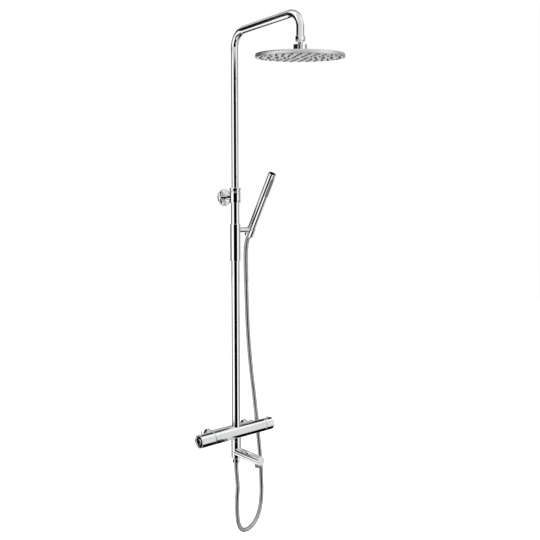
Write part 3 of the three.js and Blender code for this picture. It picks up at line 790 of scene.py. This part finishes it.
def make_mixer_body():
    body = turned("mixer_body_fine", [
        (0, BODY_LEFT + 46), (CARTRIDGE_BORE, BODY_LEFT + 46), (CARTRIDGE_BORE, BODY_LEFT),
        (BAR_R - CHAMFER, BODY_LEFT), (BAR_R, BODY_LEFT + CHAMFER),
        (BAR_R, BODY_RIGHT - CHAMFER), (BAR_R - CHAMFER, BODY_RIGHT),
        (CARTRIDGE_BORE, BODY_RIGHT), (CARTRIDGE_BORE, 48), (0, 48)],
        BAR_AT @ TO_RIGHT, 0.3, BIG, 6)
    block = rounded_box("block", (BLOCK_LEFT, 17.5, -BLOCK_HALF),
                        (BLOCK_RIGHT, BLOCK_BACK, BLOCK_HALF), 1.6, BAR_AT)
    parts = [block]
    for x in (-INLET_X, INLET_X):
        parts.append(turned("spigot", [
            (0, BLOCK_BACK - 2), (8, BLOCK_BACK - 2), (8, 46.7), (9.9, 46.7), (9.9, SPIGOT_END),
            (0, SPIGOT_END)], BAR_AT @ moved(x) @ TO_WALL, 0.2))
    carve(body, "UNION", *parts)
    bores = [rod("inlet way", 5.8, 10, WALL, BAR_AT @ moved(x) @ TO_WALL, SMALL)
             for x in (-INLET_X, INLET_X)]
    carve(body, "DIFFERENCE", *bores,
          rod("riser socket", LOWER_WAY, 1.5, 26, BAR_AT),
          rod("outlet socket", CORE_WAY, -26, -8, BAR_AT),
          rod("link", 5, -10, 3.5, BAR_AT, SMALL))
    stand_for(body, "mixer_body")


def make_inlet_nuts():
    for side, x in (("left", -INLET_X), ("right", INLET_X)):
        place = BAR_AT @ moved(x) @ TO_WALL
        hexagon = rod("hexagon", INLET_NUT_R, BLOCK_BACK + GAP, WALL, place, 6)
        cone = turned("cone", [(0, BLOCK_BACK), (12.6, BLOCK_BACK), (14.6, 46.6), (14.6, 56.6),
                               (12.9, WALL), (0, WALL)], place, 0.1)
        nut = carve(hexagon, "INTERSECT", cone)
        carve(nut, "DIFFERENCE", rod("neck", INLET_NUT_NECK, 40, 47, place),
              rod("thread", INLET_NUT_BORE, 46.4, 60, place))
        nut.name = f"inlet_nut_{side}_fine"
        stand_for(nut, f"inlet_nut_{side}")


# ---- Handles ------------------------------------------------------------------------------------

ENDS = [
    {"name": "temperature", "way": TO_LEFT, "side": -1, "inner": 94.3, "cavity": 124,
     "pin": 136, "lean": 0},
    {"name": "flow", "way": TO_RIGHT, "side": 1, "inner": 114.8, "cavity": 128,
     "pin": 125, "lean": math.radians(20)},
]


def make_handle(end):
    place = BAR_AT @ end["way"]
    inner, cavity = end["inner"], end["cavity"]
    shell = turned(f"{end['name']}_handle_fine", [
        (17.5, inner), (BAR_R - CHAMFER, inner), (BAR_R, inner + CHAMFER), (BAR_R, BAR_END),
        (19.3, BAR_END),
        (19.3, BAR_END - 4), (4.3, BAR_END - 4), (4.3, cavity), (17.5, cavity), (17.5, inner)],
        place, 0.7, BIG)
    stand_for(shell, f"{end['name']}_handle")
    back = BAR_END - 3.7
    cap = turned(f"{end['name']}_end_cap_fine", [
        (0, back), (19, back), (19, BAR_END - 0.8), (17.2, BAR_END - 0.8), (16.4, BAR_END - 2.2),
        (8.2, BAR_END - 2.2), (7.4, BAR_END - 0.9), (0, BAR_END - 0.9)], place, 0.35, BIG)
    stand_for(cap, f"{end['name']}_end_cap")
    lean = BAR_AT @ turn(end["lean"], "X") @ moved(end["side"] * end["pin"])
    pin = turned(f"{end['name']}_pin_fine", [
        (0, 17.8), (1.8, 17.8), (1.8, 27.6), *arc(0, 30.25, 2.75, -48, 90, 12)[:-1], (0, 33)],
        lean, 0.2, SMALL)
    stand_for(pin, f"{end['name']}_pin")


# ---- Outlet and spout ---------------------------------------------------------------------------

SPOUT_Z = -63
SPOUT_REACH = 125
SPOUT_R = 14.7
OUTLET_R = 15.5
HUB_LOW, HUB_TOP = -84, -27.3
AERATOR_Y, AERATOR_PROUD = -110, 7
HOSE_WAY = 7.4  # bore round the hose in both its nuts


def make_outlet():
    collar = ring("outlet_collar_fine", CORE_WAY, OUTLET_R, -27, -8, BAR_AT, 0.3, BIG)
    carve(collar, "DIFFERENCE", rod("bar way", BAR_R + GAP, -30, 30, BAR_AT @ TO_RIGHT, BIG))
    stand_for(collar, "outlet_collar")
    stand_for(ring("spout_retaining_ring_fine", CORE_WAY, 12.5, -87, -84.3, BAR_AT, 0.4),
              "spout_retaining_ring")


def make_spout():
    hub = turned("spout_body_fine", [(0, HUB_LOW), (OUTLET_R, HUB_LOW), (OUTLET_R, HUB_TOP),
                                     (0, HUB_TOP)], BAR_AT, 0.8, BIG, 5)
    tube = turned("tube", [(0, 0), (SPOUT_R, 0), (SPOUT_R, SPOUT_REACH), (0, SPOUT_REACH)],
                  BAR_AT @ moved(z=SPOUT_Z) @ FROM_WALL, 0.9, BIG, 5)
    carve(hub, "UNION", tube)
    carve(hub, "DIFFERENCE",
          rod("core way", CORE_WAY, -90, -20, BAR_AT),
          rod("waterway", 9.5, 0, SPOUT_REACH - 6, BAR_AT @ moved(z=SPOUT_Z) @ FROM_WALL),
          rod("mouth", 10.3, SPOUT_Z - 20, SPOUT_Z - 4, BAR_AT @ moved(y=AERATOR_Y)))
    stand_for(hub, "spout_body")


def make_aerator():
    at = BAR_AT @ moved(y=AERATOR_Y, z=SPOUT_Z - SPOUT_R - AERATOR_PROUD)
    rim = turned("spout_aerator_fine", [(7.4, 0), (10, 0), (10, 2), (9.6, 2.5), (10, 3), (10, 14),
                                        (8.2, 14), (8.2, 1.4), (7.4, 1.4), (7.4, 0)], at, 0.4)
    stand_for(rim, "spout_aerator")
    insert = rod("insert", 7.9, 1.9, 12, at, ORDINARY, 0.2)
    ribs = [rounded_box("rib", (-0.3, -6.6, 1.2), (0.3, 6.6, 2.2), 0.1,
                        at @ turn(math.pi * k / 6, "Z")) for k in range(6)]
    rings = [ring("rib ring", r, r + 0.6, 1.2, 2.1, at, 0.1) for r in (2.2, 4.4)]
    stand_for(merged("aerator_insert_fine", [insert, *ribs, *rings]), "aerator_insert")


def make_lower_nut():
    nut = turned("hose_nut_lower_fine", [
        (HOSE_WAY, -103), (9.4, -103), (11, -101), (11, -87.3), (CORE_WAY, -87.3),
        (CORE_WAY, -98.8), (HOSE_WAY, -98.8), (HOSE_WAY, -103)], BAR_AT, 0.5, BIG)
    flats = [rounded_box("flat", (10.3, -9, -100), (14, 9, -89.4), 0.4,
                         BAR_AT @ turn(math.pi / 3 * k, "Z")) for k in range(6)]
    carve(nut, "DIFFERENCE", *flats)
    stand_for(nut, "hose_nut_lower")


# ---- Slider and holder --------------------------------------------------------------------------

HOLDER_AT = moved(0, COLUMN_Y, HOLDER.z)
STICK_LEAN = math.atan2(-STICK_AXIS.y, STICK_AXIS.z)
STICK_AT = Matrix.Translation(HOLDER) @ turn(STICK_LEAN, "X")
ARM_R, ARM_END = 7.5, 47.5
PIVOT_WAY = 4.5
SLEEVE_R, SLEEVE_BORE = 16, 14.6
LINER_OUTER, LINER_INNER = 14.3, 13.2
CRADLE_R, CRADLE_BORE, CRADLE_SLOT_HALF = 14, 12.4, 7.5
STICK_FOOT, STICK_TOP = -22, 204
STICK_R, STICK_BORE, STICK_NUT_R = 12, 9.5, 11.6


def make_slider():
    at = moved(0, COLUMN_Y)
    low, high = reach("slider_sleeve", 2)
    sleeve = ring("slider_sleeve_fine", SLEEVE_BORE, SLEEVE_R, low, high, at, 0.7, BIG, 6)
    carve(sleeve, "DIFFERENCE", rod("spigot way", 5.3, 10, 20, HOLDER_AT @ TO_RIGHT))
    stand_for(sleeve, "slider_sleeve")
    for name in ("slider_liner_lower", "slider_liner_upper"):
        low, high = reach(name, 2)
        stand_for(ring(f"{name}_fine", LINER_INNER, LINER_OUTER, low, high, at, 0.25, BIG), name)


def make_holder_arm():
    arm = turned("holder_arm_fine", [(0, 12), (ARM_R, 12), (ARM_R, ARM_END), (0, ARM_END)],
                 HOLDER_AT @ TO_RIGHT, 0.5, BIG, 4)
    carve(arm, "DIFFERENCE", rod("sleeve way", 16.3, -12, 12, HOLDER_AT, BIG))
    carve(arm, "UNION", rod("spigot", 5, 14.9, 20, HOLDER_AT @ TO_RIGHT))
    carve(arm, "DIFFERENCE", rod("pivot way", PIVOT_WAY, 30, ARM_END + 1, HOLDER_AT @ TO_RIGHT))
    stand_for(arm, "holder_arm")
    stand_for(ring("holder_friction_washer_fine", PIVOT_WAY, ARM_R, ARM_END + GAP, ARM_END + 1.3,
                   HOLDER_AT @ TO_RIGHT, 0.2), "holder_friction_washer")


def make_cradle():
    cup = turned("holder_cradle_fine", [(0, STICK_FOOT - 1), (13.2, STICK_FOOT - 1),
                                        (CRADLE_R, STICK_FOOT), (CRADLE_R, 5), (0, 5)],
                 STICK_AT, 0.7, BIG, 3)
    out = HOLDER.x
    carve(cup, "UNION",
          rod("hub", 8.2, ARM_END + 1.6 - out, -4, STICK_AT @ TO_RIGHT, ORDINARY, 0.5),
          rod("pivot", 4.1, 36 - out, -10, STICK_AT @ TO_RIGHT, ORDINARY, 0.3))
    slot = rounded_box("slot", (-CRADLE_SLOT_HALF, -30, -30), (CRADLE_SLOT_HALF, 0, 30), 0.5,
                       STICK_AT)
    carve(cup, "DIFFERENCE", rod("nut way", CRADLE_BORE, -30, 10, STICK_AT, BIG), slot)
    stand_for(cup, "holder_cradle")


# ---- Hand shower --------------------------------------------------------------------------------

STRIP_MIDDLE, STRIP_LONG, STRIP_HALF = 158, 66, 6
STRIP_FRONT, STRIP_BACK = -12.2, -9.2
HOSE_MOUTH = 10.5  # the nut flares to this, so the hose may lean in it


def strip_solid(name, half, length, front, back):
    """A slim bar with round ends on the side of the stick that faces the room."""
    straight = length / 2 - half
    ends = [(half * math.cos(a), straight * sign + half * math.sin(a))
            for sign, first in ((1, 0), (-1, math.pi))
            for a in [first + math.pi * i / 16 for i in range(17)]]
    work = bmesh.new()
    rows = [[work.verts.new((x, y, STRIP_MIDDLE + z)) for x, z in ends] for y in (back, front)]
    loft(work, rows, False)
    work.faces.new(rows[0][::-1])
    work.faces.new(rows[1])
    return as_object(name, work, STICK_AT)


def make_handset():
    nut = turned("handset_hose_nut_fine", [
        (HOSE_MOUTH, STICK_FOOT), (STICK_NUT_R, STICK_FOOT), (STICK_NUT_R, 1.5), (HOSE_WAY, 1.5),
        (HOSE_WAY, STICK_FOOT + 9), (HOSE_MOUTH, STICK_FOOT)], STICK_AT, 0.3, BIG)
    stand_for(nut, "handset_hose_nut")
    body = turned("handset_body_fine", [
        (8, 1.8), (STICK_NUT_R, 1.8), (STICK_NUT_R, 5.4), (STICK_R, 5.4), (STICK_R, STICK_TOP - 4.3),
        (STICK_BORE, STICK_TOP - 4.3), (STICK_BORE, 12), (8, 12), (8, 1.8)], STICK_AT, 0.35, BIG, 6)
    pocket = strip_solid("pocket", STRIP_HALF + GAP, STRIP_LONG + 2 * GAP, -13.5, STRIP_BACK)
    carve(body, "DIFFERENCE", pocket)
    stand_for(body, "handset_body")
    cap = turned("handset_top_cap_fine", [
        (0, STICK_TOP - 10), (9.1, STICK_TOP - 10), (9.1, STICK_TOP - 4),
        (STICK_R, STICK_TOP - 4), (STICK_R, STICK_TOP), (0, STICK_TOP)], STICK_AT, 0.8, BIG)
    stand_for(cap, "handset_top_cap")


def make_spray_strip():
    strip = strip_solid("handset_spray_strip_fine", STRIP_HALF, STRIP_LONG, STRIP_FRONT, STRIP_BACK)
    nozzles = [
        turned("nozzle", [(0, 0), (0.9, 0), (0.6, 1.0), (0.25, 1.0), (0.25, 0.5), (0, 0.5)],
               STICK_AT @ moved(x, STRIP_FRONT, STRIP_MIDDLE + z) @ FROM_WALL, 0.1, 12)
        for x in (-3, 0, 3) for z in range(-27, 28, 6)
    ]
    stand_for(merged("handset_spray_strip_fine", [strip, *nozzles]), "handset_spray_strip")


make_wall_plate()
make_escutcheon()
make_bracket()
make_bracket_screws()
make_clamp_ring()
make_riser()
make_ball_joint()
make_head_shell()
make_spray_plate()
make_nozzles()
make_mixer_body()
make_inlet_nuts()
for end_of_bar in ENDS:
    make_handle(end_of_bar)
make_outlet()
make_spout()
make_aerator()
make_lower_nut()
make_slider()
make_holder_arm()
make_cradle()
make_handset()
make_spray_strip()

# The CAD nodes that stay are the inner pieces; they get their slot's material.
for node_name, node_object in frame["nodes"].items():
    node_object.data.materials.clear()
    node_object.data.materials.append(MATERIALS[SLOT_OF[node_name]])


# ---- Floor, light and surroundings ----------------------------------------------------------------

FLOOR_BELOW_BAR = 1.05
FLOOR_HALF = 12000
FLOOR_GLOW = 0.7
KEY_SIZE, KEY_WATTS = 2.5, 60
KEY_PLACE, KEY_AIM = Vector((-2.2, -2.6, 1.6)), Vector((0, 0, -0.3))


def make_floor():
    work = bmesh.new()
    bmesh.ops.create_grid(work, x_segments=1, y_segments=1, size=FLOOR_HALF)
    floor = as_object("floor", work, moved(0, 0, BAR_Z - FLOOR_BELOW_BAR / MM))
    paint = bpy.data.materials.new("pale floor")
    paint.use_nodes = True
    shader = paint.node_tree.nodes["Principled BSDF"]
    shader.inputs["Base Color"].default_value = (0.9, 0.9, 0.9, 1)
    shader.inputs["Roughness"].default_value = 0.9
    shader.inputs["Emission Color"].default_value = (1, 1, 1, 1)
    shader.inputs["Emission Strength"].default_value = FLOOR_GLOW
    floor.data.materials.append(paint)
    floor.visible_glossy = False


def make_key_light():
    data = bpy.data.lights.new("key", "AREA")
    data.shape = "DISK"
    data.size = KEY_SIZE
    data.energy = KEY_WATTS
    light = bpy.data.objects.new("key", data)
    bpy.context.scene.collection.objects.link(light)
    light.location = KEY_PLACE
    light.rotation_euler = (KEY_AIM - light.location).to_track_quat("-Z", "Y").to_euler()
    light.visible_glossy = False


# What the chrome mirrors, as patches of the surroundings: the bearing in degrees, with 0 straight
# behind the camera and positive to its right, the elevation in degrees, and the brightness. Later
# patches lie over earlier ones. "either" patches hold on both sides.
WHITE = 1.15
PATCHES = [
    ("right", (70, 200), (-100, 100), 6, 0.77),
    ("right", (92, 200), (-40, 22), 4, 0.3),
    ("right", (80, 91), (-6, 6), 2, 1.15),
    ("right", (104, 150), (-40, -21), 3, 0.8),
    ("right", (-34, 47), (-45, 14), 2, 0.0),
    ("right", (-62, 48), (14, 100), 1.5, 0.72),
    ("right", (-157, -98), (-28, 33), 3, 0.01),
    ("right", (-157, -62), (14, 20), 1, 0.0),
    ("right", (-200, -100), (38, 100), 4, 0.4),
    ("right", (70, 135), (41, 56), 3, 1.05),
    ("either", (160, 200), (-7, 12), 3, 0.85),
    ("either", (143, 200), (-41, -8), 2, 0.0),
    ("either", (152, 200), (14, 36), 2, 0.35),
    ("right", (132, 178), (34, 62), 4, 0.0),
    ("right", (-66, -15), (-48, -21), 3, 0.0),
    ("right", (-200, -15), (-100, -50), 3, 0.02),
    ("right", (78, 200), (-100, -36), 3, 0.0),
    ("right", (45, 80), (-100, -47), 3, 0.08),
]


def make_studio():
    """White surroundings for the camera; for reflections, a white room with grey and black cards."""
    world = bpy.data.worlds.new("studio")
    bpy.context.scene.world = world
    world.use_nodes = True
    nodes = Nodes(world.node_tree)
    toward = nodes.add("ShaderNodeTexCoord").outputs["Generated"]
    turned_to = nodes.add("ShaderNodeVectorRotate", {"Vector": toward, "Angle": HEADING + math.pi},
                          rotation_type="Z_AXIS").outputs[0]
    parts = nodes.add("ShaderNodeSeparateXYZ", {"Vector": turned_to}).outputs
    right = nodes.math("MULTIPLY", nodes.math("ARCTAN2", parts["X"], parts["Y"]), -math.degrees(1))
    bearing = {"right": right, "either": nodes.math("ABSOLUTE", right)}
    elevation = nodes.math("MULTIPLY", nodes.math("ARCSINE", parts["Z"]), math.degrees(1))

    def between(value, low, high, soft):
        rise = nodes.spread(value, 0, 1, low - soft, low + soft, True)
        fall = nodes.spread(value, 1, 0, high - soft, high + soft, True)
        return nodes.math("MULTIPLY", rise, fall)

    level = WHITE
    for side, across, up, soft, brightness in PATCHES:
        cover = nodes.math("MULTIPLY", between(bearing[side], *across, soft),
                           between(elevation, *up, min(soft, 3)))
        level = nodes.math("MULTIPLY_ADD", cover, nodes.math("SUBTRACT", brightness, level), level)
    seen = nodes.add("ShaderNodeLightPath").outputs["Is Camera Ray"]
    strength = nodes.math("MAXIMUM", level, seen)
    background = world.node_tree.nodes["Background"]
    background.inputs["Color"].default_value = (1, 1, 1, 1)
    nodes.set(background.inputs["Strength"], strength)


PANEL_AWAY = 3  # metres from the ball joint
PANEL_HIGH = 1.8


def make_panel(name, bearing, width, energy, *lit):
    """A dim panel behind the camera that only some pieces of the overhead shower receive."""
    data = bpy.data.lights.new(name, "AREA")
    data.shape = "RECTANGLE"
    data.size, data.size_y = width, PANEL_HIGH
    data.energy = energy
    light = bpy.data.objects.new(name, data)
    bpy.context.scene.collection.objects.link(light)
    target = BALL * MM
    turned_by = math.radians(bearing)
    toward = -AHEAD * math.cos(turned_by) + ACROSS * math.sin(turned_by)
    light.location = target + toward * PANEL_AWAY - Vector((0, 0, 0.1))
    light.rotation_euler = (target - light.location).to_track_quat("-Z", "Y").to_euler()
    receivers = bpy.data.collections.new(name)
    for piece in lit:
        receivers.objects.link(bpy.data.objects[piece])
    light.light_linking.receiver_collection = receivers


CARD_AWAY = 3200  # millimetres from the column
CARD_BEARING = math.radians(95)  # to the left of straight behind the camera
CARD_HALF = 240
CARD_FOOT, CARD_TOP = -540, 1350
FLAG_AWAY, FLAG_FORWARD, FLAG_HALF = 150, 62, 118


def make_card(name, centre, along, foot, top):
    """An upright black card that only reflections see; it reaches along both ways from its centre."""
    corners = [centre + along * side + Vector((0, 0, z))
               for side, z in ((-1, foot), (1, foot), (1, top), (-1, top))]
    work = bmesh.new()
    work.faces.new([work.verts.new(corner) for corner in corners])
    card = as_object(name, work)
    cloth = bpy.data.materials.new(name)
    cloth.use_nodes = True
    shader = cloth.node_tree.nodes["Principled BSDF"]
    shader.inputs["Base Color"].default_value = (0.004, 0.004, 0.004, 1)
    shader.inputs["Roughness"].default_value = 1
    card.data.materials.append(cloth)
    card.visible_camera = False
    card.visible_diffuse = False
    card.visible_shadow = False


def make_cards():
    """A tall card off to the left, and a small one close to the overhead shower's left."""
    toward = -AHEAD * math.cos(CARD_BEARING) - ACROSS * math.sin(CARD_BEARING)
    along = toward.cross(Vector((0, 0, 1))) * CARD_HALF
    column = Vector((0, COLUMN_Y, 0))
    make_card("tall_card", column + toward * CARD_AWAY, along, CARD_FOOT, CARD_TOP)
    near = Vector((BALL.x, BALL.y, 0)) - ACROSS * FLAG_AWAY - AHEAD * FLAG_FORWARD
    make_card("small_card", near, AHEAD * FLAG_HALF, BALL.z - 30, BALL.z + 55)


make_floor()
make_key_light()
make_panel("rim_panel", 6, 5.2, 17, "head_shell_fine")
make_panel("joint_panel", 22, 2.9, 9, "head_boss_fine", "ball_joint_nut_fine")
make_cards()
make_studio()
